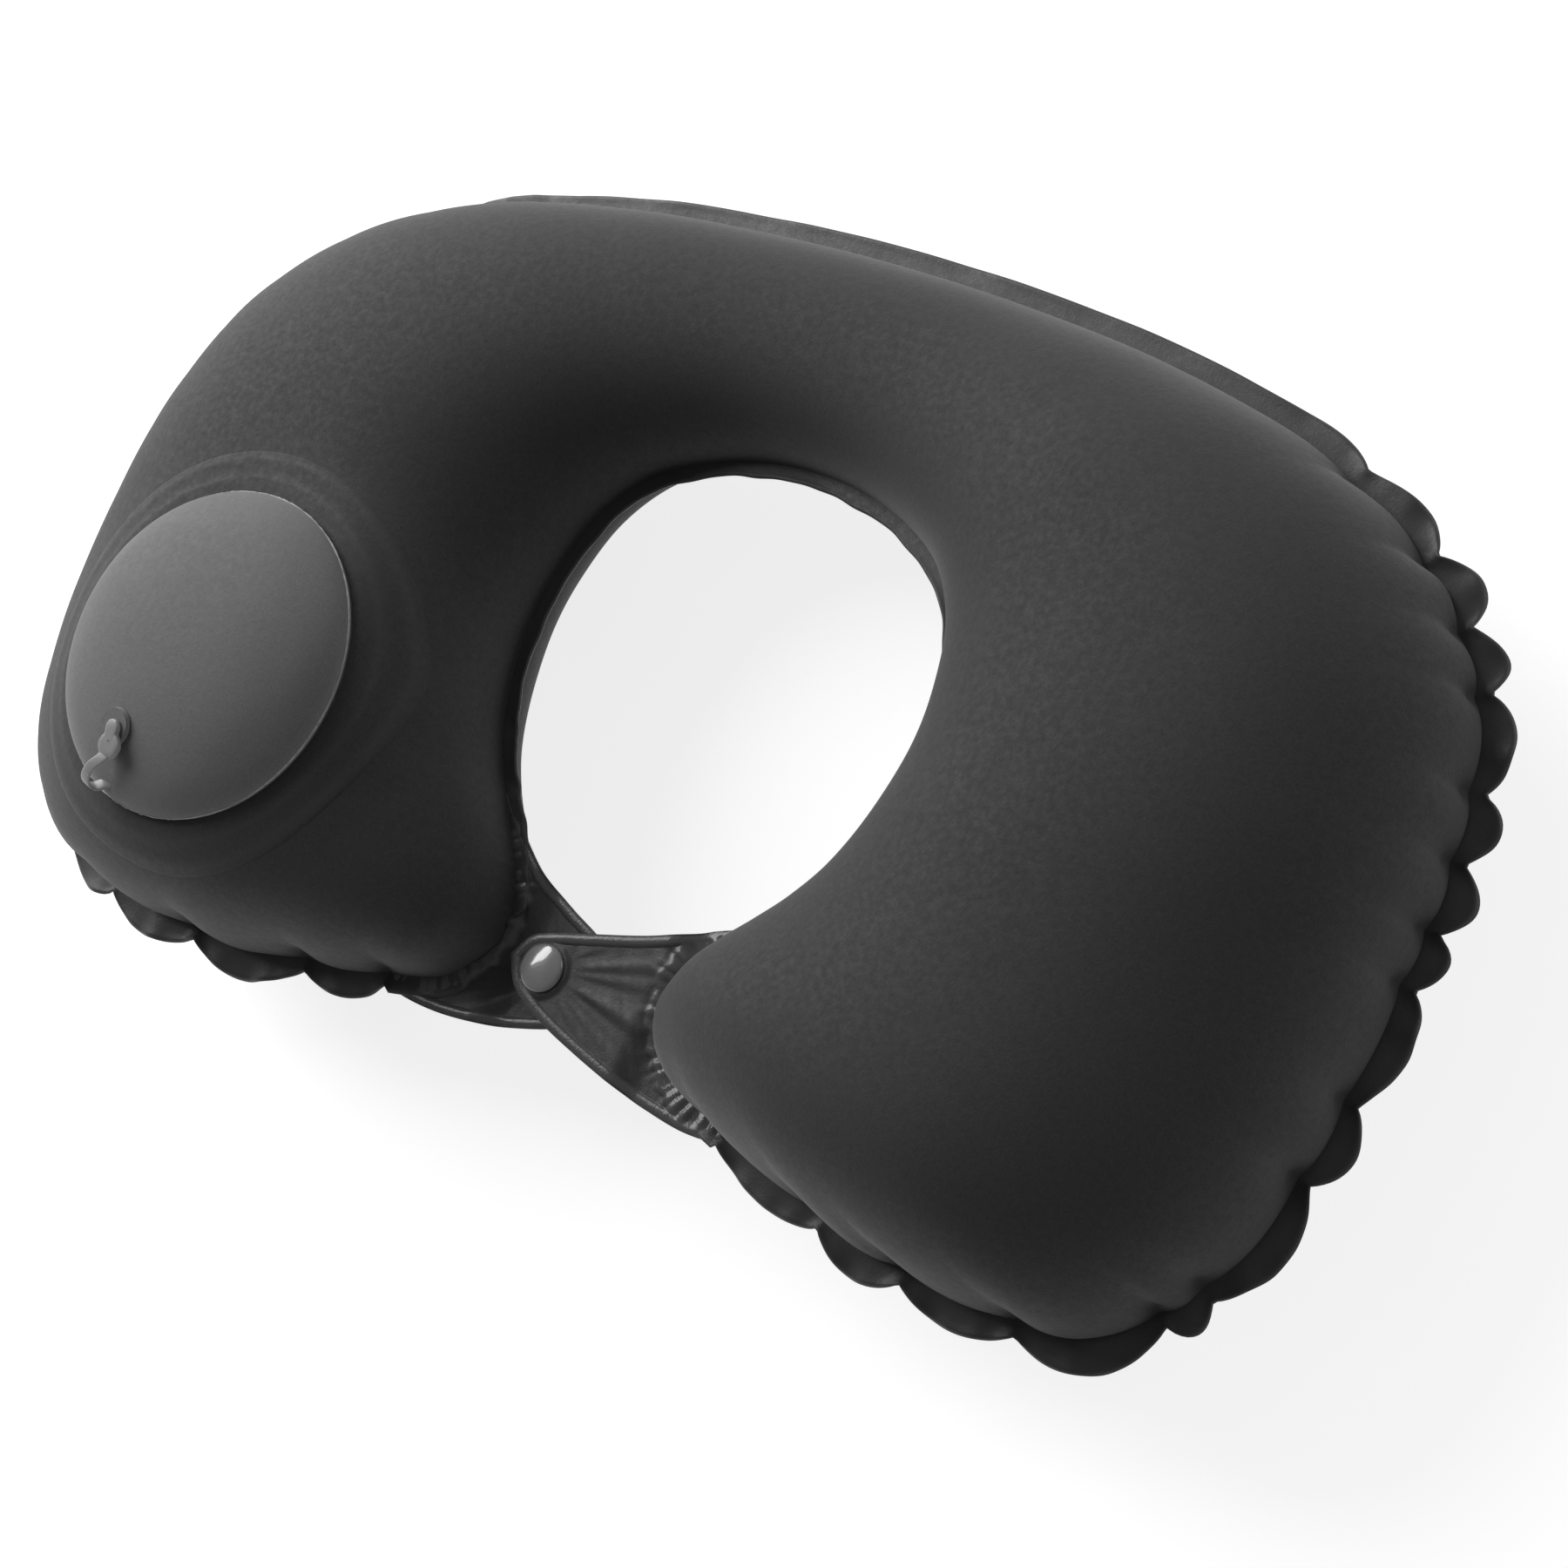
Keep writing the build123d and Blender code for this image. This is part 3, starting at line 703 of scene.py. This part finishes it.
# Plan outline of each tab: its edges from the root to the tip, and the arm's nose, where the plies part.
RIGHT_TAB = {
    "upper": [
        (39, -60), (32, -63), (25.9, -66.2), (14, -71.5),
        (-2.7, -77.2), (-14.5, -81.2), (-20.6, -84.4), (-24.1, -90.9),
    ],
    "lower": [
        (61, -113.2), (48, -114.4), (35, -113.4), (26, -112),
        (9, -108.3), (-6, -104.2), (-18, -98.8), (-24.1, -90.9),
    ],
    "nose": [
        (38, -58), (29.5, -68.5), (26.2, -76), (26.2, -84), (28.0, -91),
        (32.5, -98), (39, -104.8), (48, -109.8), (60, -112),
    ],
}
LEFT_TAB = {
    "upper": [
        (-51, -50), (-45, -54.2), (-36.5, -61.5), (-26.2, -68.3),
        (-15.2, -73), (-4, -77), (5.5, -82), (9.5, -91),
    ],
    "lower": [
        (-62, -112.8), (-52, -114), (-41, -113.9), (-28.8, -112.2),
        (-18.6, -109.5), (-6, -105.1), (5, -100), (9.5, -91),
    ],
    "nose": [
        (-47.5, -54.3), (-41.5, -61), (-35.5, -69.5), (-32, -77.8), (-31, -85.2),
        (-33, -92), (-36.5, -98.6), (-43, -104.8), (-53, -109.2), (-62, -111),
    ],
}
TAB_ROWS = 190
TAB_COLUMNS = 84
TAB_THICK = 1.05
POCKET_SINK = 0.5  # how far the plies sink between the welded bands
BEAD_RISE = 0.14
FAN_HEIGHT = 0.26  # creases that fan out from the snap
FAN_SCALE = 22.0  # millimetres of fan for each radian
WRINKLE_HEIGHT = 0.07
PLY_OFF_SEAM = 0.3


def even(points, shares):
    """Points at shares of the length of a smooth curve through listed ones."""
    fine = smooth_through(points, np.linspace(0, len(points) - 1, 1200))
    run = running_length(fine)
    at = run[-1] * shares
    return np.stack([np.interp(at, run, fine[:, k]) for k in range(2)], -1)


def nearest(points, line):
    """Distance from each point to a line of points, and the place along it."""
    run = running_length(line)
    gap = np.zeros(len(points))
    place = np.zeros(len(points))
    batch = 4000
    for start in range(0, len(points), batch):
        part = points[start : start + batch]
        apart = np.linalg.norm(part[:, None, :] - line[None, :, :], axis=-1)
        k = apart.argmin(1)
        gap[start : start + batch] = apart[np.arange(len(part)), k]
        place[start : start + batch] = run[k]
    return gap, place


def make_tab(name, shape, side, tip_z, nodes, seed, gather):
    """Two welded plies: flat bead along the edge, sunk pocket inside, puckers where they meet the arm."""
    toward_tip = 1 - (1 - np.linspace(0, 1, TAB_ROWS)) ** 1.7
    upper = even(shape["upper"], toward_tip)
    lower = even(shape["lower"], toward_tip)
    across = (1 - np.cos(math.pi * np.linspace(0, 1, TAB_COLUMNS))) / 2
    plan = lower[:, None, :] + (upper - lower)[:, None, :] * across[None, :, None]
    flat = plan.reshape(-1, 2)
    edge = np.vstack([upper, lower[::-1]])
    from_edge, _ = nearest(flat, even(edge, np.linspace(0, 1, 1400)))
    nose = even(shape["nose"], np.linspace(0, 1, 700))
    from_nose, along_nose = nearest(flat, nose)
    from_snap = np.hypot(flat[:, 0] - SNAP_AT[0], flat[:, 1] - SNAP_AT[1])
    spread = np.arctan2(flat[:, 1] - SNAP_AT[1], (flat[:, 0] - SNAP_AT[0]) * side)

    edge_band = 1 - smoothstep(from_edge, 2.3, 3.0)
    nose_band = 1 - smoothstep(from_nose + 0.9 * wavy(along_nose, 9.0, seed), 2.6, 4.4)
    band = np.maximum(edge_band, nose_band)
    cut = 1 - smoothstep(from_edge, 0.5, 0.9)
    height = -POCKET_SINK * (1 - band)
    height += BEAD_RISE * bell(from_edge, 1.5, 0.8)
    if side > 0:
        height += POCKET_SINK * (1 - smoothstep(from_snap, 7.0, 9.0)) * (1 - band)
    pucker = (np.abs(wavy(along_nose, 8.5, seed + 1)) * 1.3 - 0.45) * gather
    height += pucker * np.exp(-(from_nose / 3.6) ** 1.5) * smoothstep(from_edge, 1.0, 4.0)
    inside = smoothstep(from_edge, 2.5, 9.0) * smoothstep(from_snap, 8.0, 20.0)
    height += FAN_HEIGHT * wavy(spread * FAN_SCALE, 9.5, seed + 2) * inside
    wrinkle = wavy(flat[:, 0] + 0.6 * flat[:, 1], 9.0, seed + 3)
    height += WRINKLE_HEIGHT * wrinkle * smoothstep(from_edge, 2.5, 6.0)
    settle = smoothstep(flat[:, 0] * side, 20.0, 31.0)
    z = tip_z + (SEAM_Z + PLY_OFF_SEAM * side - tip_z) * settle + height
    points = np.column_stack([flat, z])
    # The welded bands at the edge and the nose take the welded film's lighter colour, a painted sheen; the
    # cut edge and the pocket keep the plain fabric.
    weld_and_sheen = np.clip(0.85 * edge_band * (1 - cut) + 0.9 * nose_band, 0, 1)
    obj = make_mesh(name, points, grid_quads(TAB_ROWS, TAB_COLUMNS), {"weld_and_sheen": weld_and_sheen})
    face_outward(obj, True)
    obj.data.materials.append(TAB)
    thicken(obj, TAB_THICK)
    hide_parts(*nodes)
    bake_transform(obj)


make_tab("right_tab_plies", RIGHT_TAB, 1, 47.4, ("right_tab_upper_ply", "right_tab_lower_ply"), 31, 1.0)
make_tab("left_tab_plies", LEFT_TAB, -1, 42.6, ("left_tab_upper_ply", "left_tab_lower_ply"), 47, 0.6)

# ---- inlet valve, plug and strap ---------------------------------------------------------------

CROWN_R = 134.0  # radius of the dome's crown
INLET_REACH = 29.7  # from the pump's axis
INLET_HEADING = math.radians(256.0)
INLET_TILT = math.asin(INLET_REACH / CROWN_R)
INLET_ORIGIN = np.array(
    [
        PUMP_AT[0] + INLET_REACH * math.cos(INLET_HEADING),
        PUMP_AT[1] + INLET_REACH * math.sin(INLET_HEADING),
        PUMP_BASE_Z + PUMP_RISE - CROWN_R * (1 - math.cos(INLET_TILT)),
    ]
)
INLET_NORMAL = np.array(
    [
        math.cos(INLET_HEADING) * math.sin(INLET_TILT),
        math.sin(INLET_HEADING) * math.sin(INLET_TILT),
        math.cos(INLET_TILT),
    ]
)
INLET_OUT = np.array(
    [
        math.cos(INLET_HEADING) * math.cos(INLET_TILT),
        math.sin(INLET_HEADING) * math.cos(INLET_TILT),
        -math.sin(INLET_TILT),
    ]
)
INLET_SIDE = np.cross(INLET_NORMAL, INLET_OUT)


def inlet(x, y, z):
    """Point given out of the pump's axis, sideways and off the dome, in the frame's axes."""
    return INLET_ORIGIN + INLET_OUT * x + INLET_SIDE * y + INLET_NORMAL * z


def lathe(name, profile, turns, place):
    """Closed turned shape: profile of radius and height, place maps x, y, z to the frame."""
    points = []
    for k in range(turns):
        turn = 2 * math.pi * k / turns
        points += [place(r * math.cos(turn), r * math.sin(turn), z) for r, z in profile]
    return make_mesh(name, points, grid_quads(turns, len(profile), close_rows=True))


def finish_solid(obj, material, body, nodes=()):
    """Closes a turned shape's poles, gives it its material and body, and hides the given CAD nodes."""
    bm = bmesh.new()
    bm.from_mesh(obj.data)
    bmesh.ops.remove_doubles(bm, verts=bm.verts, dist=1e-7)
    bmesh.ops.recalc_face_normals(bm, faces=bm.faces)
    bm.to_mesh(obj.data)
    bm.free()
    obj.data.materials.append(material)
    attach(obj, body)
    if nodes:
        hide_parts(*nodes)


PLUG_TURN = math.radians(22.0)  # the grip points a little to the arm's inner side
PLUG_ASIDE = 1.3
PLUG_MIDDLE = (3.6, 0.0)
PLUG_LAYERS = [  # share of the outline, height
    (0.05, 1.15), (0.86, 1.15), (0.97, 1.2), (1.0, 1.4), (1.0, 2.25),
    (0.98, 2.5), (0.93, 2.62), (0.6, 2.66), (0.05, 2.68),
]
PIN_PROFILE = [(0.02, -2.6), (1.3, -2.6), (1.6, -2.2), (1.6, 1.3), (0.02, 1.3)]
PLUG_OUTLINE = [
    (-2.6, 0.0), (-2.2, 1.4), (-1.0, 2.25), (0.4, 2.35), (1.5, 2.3), (2.6, 3.2), (4.0, 3.95), (5.6, 3.9),
    (7.2, 3.1), (8.1, 2.0), (8.45, 0.0),
]


def make_plug():
    """Grip with an end lobe and a disc, and the pin under it."""
    half = smooth_through(PLUG_OUTLINE, np.linspace(0, len(PLUG_OUTLINE) - 1, 60))
    loop = np.vstack([half, half[-2:0:-1] * (1, -1)])
    centre = np.array(PLUG_MIDDLE)
    c, t = math.cos(PLUG_TURN), math.sin(PLUG_TURN)
    points = []
    for outline_point in loop:
        for share, z in PLUG_LAYERS:
            px, py = centre + (outline_point - centre) * share
            points.append(inlet(px * c - py * t, px * t + py * c + PLUG_ASIDE, z))
    grip = make_mesh("plug_grip", points, grid_quads(len(loop), len(PLUG_LAYERS), close_rows=True))
    finish_solid(grip, PLUG, "inlet_plug", ["inlet_plug"])
    pin = lathe("plug_pin", PIN_PROFILE, 40, inlet)
    finish_solid(pin, PLUG, "inlet_plug")


STRAP_LINE = [
    (6.6, 3.6, 2.1), (9.4, 2.6, 2.6), (12.8, 0.8, 2.5), (16.4, -0.5, 1.2), (18.8, -0.9, -0.9),
    (18.8, -0.1, -3.1), (16.9, 1.7, -4.3), (14.4, 3.3, -4.0), (12.0, 4.4, -3.0),
]
STRAP_HALF_WIDTHS = [1.9, 1.65, 1.65, 1.8, 1.95, 1.9, 1.75, 1.9, 2.2]
STRAP_HALF_THICK = 0.36
STRAP_STATIONS = 90
STRAP_SPLIT = 28  # station where the strap's plug end meets its dome end
STRAP_RING = 16


def strap_section(centre, forward, half_wide):
    """Points round the strap at one station: a flat oblong with round corners."""
    sideways = np.array([0.0, 1.0, 0.0])
    sideways -= forward * (sideways @ forward)
    sideways /= np.linalg.norm(sideways)
    up = np.cross(forward, sideways)
    points = []
    for m in range(STRAP_RING):
        turn = 2 * math.pi * m / STRAP_RING
        across = math.copysign(abs(math.cos(turn)) ** 0.5, math.cos(turn))
        raised = math.copysign(abs(math.sin(turn)) ** 0.6, math.sin(turn))
        points.append(inlet(*(centre + sideways * half_wide * across + up * STRAP_HALF_THICK * raised)))
    return points


def strap_mesh(rows):
    """Points and faces of the tube through the given sections, closed at both ends."""
    faces = []
    for k in range(len(rows) - 1):
        for m in range(STRAP_RING):
            a, b = k * STRAP_RING + m, k * STRAP_RING + (m + 1) % STRAP_RING
            faces.append((a, b, b + STRAP_RING, a + STRAP_RING))
    faces.append(tuple(range(STRAP_RING)))
    faces.append(tuple(range(len(rows) * STRAP_RING - 1, (len(rows) - 1) * STRAP_RING - 1, -1)))
    return [point for row in rows for point in row], faces


def make_strap():
    """Flat moulded strap that leaves the grip disc, turns over past the rim and comes back to the shoulder.

    It is two pieces that meet end to end.
    """
    at = np.linspace(0, len(STRAP_LINE) - 1, STRAP_STATIONS)
    path = smooth_through(STRAP_LINE, at)
    half_wide = np.interp(at, range(len(STRAP_HALF_WIDTHS)), STRAP_HALF_WIDTHS)
    forward = np.gradient(path, axis=0)
    forward /= np.linalg.norm(forward, axis=1, keepdims=True)
    sections = [strap_section(path[k], forward[k], half_wide[k]) for k in range(STRAP_STATIONS)]
    # Name, first and last station, near body, far body, and the line along which one gives way to the other.
    last_station = STRAP_STATIONS - 1
    parts = (
        ("strap_plug_end", 0, STRAP_SPLIT, "inlet_plug", "inlet_valve", (6.6, 0, 2.1), (13.6, 0, 2.1)),
        ("strap_dome_end", STRAP_SPLIT, last_station, "inlet_valve", "pillow", (14.6, 0, 2), (16.5, 0, -3.9)),
    )
    for name, first, last, near_body, far_body, start, end in parts:
        obj = make_mesh(name, *strap_mesh(sections[first : last + 1]))
        obj.data.materials.append(PLUG)
        if near_body == "inlet_plug":
            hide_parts("inlet_plug_tether")
        start, end = (tuple(Vector(inlet(*place)) * MM) for place in (start, end))
        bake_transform(obj)


RING_PROFILE = [
    (1.75, 0.35), (1.85, 0.95), (3.6, 0.9), (4.3, 0.72),
    (4.75, 0.95), (5.1, 0.9), (5.35, 0.45), (5.5, -0.1),
]
RING_TURNS = 120


def on_crown(x, y, z):
    """Point over the inlet that follows the crown's fall away from it."""
    return inlet(x, y, z - (x * x + y * y) / (2 * CROWN_R))


def make_inlet_ring():
    """Thin welded washer under the plug, with a bead at its edge."""
    obj = lathe("inlet_ring", RING_PROFILE, RING_TURNS, on_crown)
    # The washer takes part of the welded film's lighter colour: painted sheen.
    weld_and_sheen = obj.data.attributes.new("weld_and_sheen", "FLOAT", "POINT")
    weld_and_sheen.data.foreach_set("value", [0.3] * len(obj.data.vertices))
    face_outward(obj, True)
    obj.data.materials.append(PUMP)
    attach(obj, "inlet_valve")


make_plug()
make_strap()
make_inlet_ring()

# ---- snap cap ----------------------------------------------------------------------------------


CAP_PROFILE = [
    (0.02, -0.35), (6.2, -0.35), (6.55, -0.2), (6.7, 0.1), (6.68, 0.45), (6.45, 0.8),
    (5.9, 1.15), (5.0, 1.5), (3.6, 1.9), (1.9, 2.2), (0.02, 2.3),
]
POLE_R = 0.02


def on_snap(x, y, z):
    return (SNAP_AT[0] + x, SNAP_AT[1] + y, SNAP_CAP_Z + z)


def make_snap_cap():
    """Low domed cap with a rolled edge, on top of the right tab."""
    fine = smooth_through(CAP_PROFILE, np.linspace(0, len(CAP_PROFILE) - 1, 70))
    obj = lathe("snap_cap_shell", [(max(r, POLE_R), z) for r, z in fine], 96, on_snap)
    finish_solid(obj, SNAP, "right_tab", ["snap_cap"])


make_snap_cap()

# ---- materials on the carried-over CAD nodes ---------------------------------------------------

CAD_LOOKS = {
    "pump_base": PANEL,
    "outlet_valve_seat": VALVE,
    "outlet_check_flap": RUBBER,
    "inlet_valve_seat": PUMP,
    "inlet_check_flap": RUBBER,
    "release_valve_seat": VALVE,
    "release_valve_plug": PLUG,
    "release_valve_tether": PLUG,
    "snap_socket": SNAP,
    "snap_stud": SNAP,
    "snap_back_cap": SNAP,
}
for node, material in CAD_LOOKS.items():
    for material_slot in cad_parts[node].material_slots:
        material_slot.material = material

# ---- stage -------------------------------------------------------------------------------------


FLOOR = 40000.0  # half the floor's side, so that its far edge is at the horizon
FLOOR_Z = -0.4


def make_floor():
    """Plain pale floor, kept near white by a little light of its own."""
    corners = [(x * FLOOR, y * FLOOR, FLOOR_Z) for x, y in ((-1, -1), (1, -1), (1, 1), (-1, 1))]
    obj = make_mesh("floor", corners, [(0, 1, 2, 3)])
    n = Nodes("pale_floor")
    n.set(Base_Color=(0.4, 0.4, 0.4, 1.0), Roughness=0.9, Specular_IOR_Level=0.0, Emission_Strength=0.8)
    n.shader.inputs["Emission Color"].default_value = (1.0, 1.0, 1.0, 1.0)
    obj.data.materials.append(n.material)


def area_light(name, place, target, size, power):
    """Round soft light that faces its target."""
    data = bpy.data.lights.new(name, "AREA")
    data.shape = "DISK"
    data.size = size
    data.energy = power
    obj = bpy.data.objects.new(name, data)
    obj.location = place
    obj.rotation_mode = "QUATERNION"
    obj.rotation_quaternion = (Vector(target) - Vector(place)).to_track_quat("-Z", "Y")
    bpy.context.scene.collection.objects.link(obj)


def paint_sky(tree):
    """White low down, as a studio sweep is, and dimmer overhead."""
    tree.nodes["Background"].inputs["Color"].default_value = (1.0, 1.0, 1.0, 1.0)
    place = tree.nodes.new("ShaderNodeTexCoord")
    parts = tree.nodes.new("ShaderNodeSeparateXYZ")
    fade = tree.nodes.new("ShaderNodeMapRange")
    fade.inputs["From Min"].default_value = 0.0
    fade.inputs["From Max"].default_value = 0.3
    fade.inputs["To Min"].default_value = 1.0
    fade.inputs["To Max"].default_value = 0.18
    tree.links.new(place.outputs["Generated"], parts.inputs["Vector"])
    tree.links.new(parts.outputs["Z"], fade.inputs["Value"])
    tree.links.new(fade.outputs["Result"], tree.nodes["Background"].inputs["Strength"])


def make_stage():
    make_floor()
    world = bpy.data.worlds.new("studio")
    bpy.context.scene.world = world
    world.use_nodes = True
    paint_sky(world.node_tree)
    area_light("key", (-1.33, 0.56, 0.97), (0, 0, 0.05), 1.5, 45.0)
    area_light("rim", (1.1, 1.0, 0.55), (0.1, 0, 0.05), 0.8, 5.0)
    bpy.context.scene.view_settings.view_transform = "Standard"


def make_camera():
    """Camera at the product shot's angle: above the right arm, rolled so that the pillow leans."""
    azimuth, elevation, roll = math.radians(81.31), math.radians(56.97), math.radians(-57.95)
    distance, lens = 0.884, 76.7
    target = Vector((0.0311, -0.0202, 0.045))
    flat = math.cos(elevation)
    back = Vector((math.sin(azimuth) * flat, -math.cos(azimuth) * flat, math.sin(elevation)))
    level = Vector((math.cos(azimuth), math.sin(azimuth), 0))
    rise = back.cross(level)
    right = level * math.cos(roll) + rise * math.sin(roll)
    up = rise * math.cos(roll) - level * math.sin(roll)
    data = bpy.data.cameras.new("camera")
    data.lens = lens
    data.sensor_width = 36.0
    data.clip_start = 0.01
    obj = bpy.data.objects.new("camera", data)
    turn = Matrix((right, up, back)).transposed().to_4x4()
    obj.matrix_world = Matrix.Translation(target + back * distance) @ turn
    bpy.context.scene.collection.objects.link(obj)
    bpy.context.scene.camera = obj


make_camera()
make_stage()
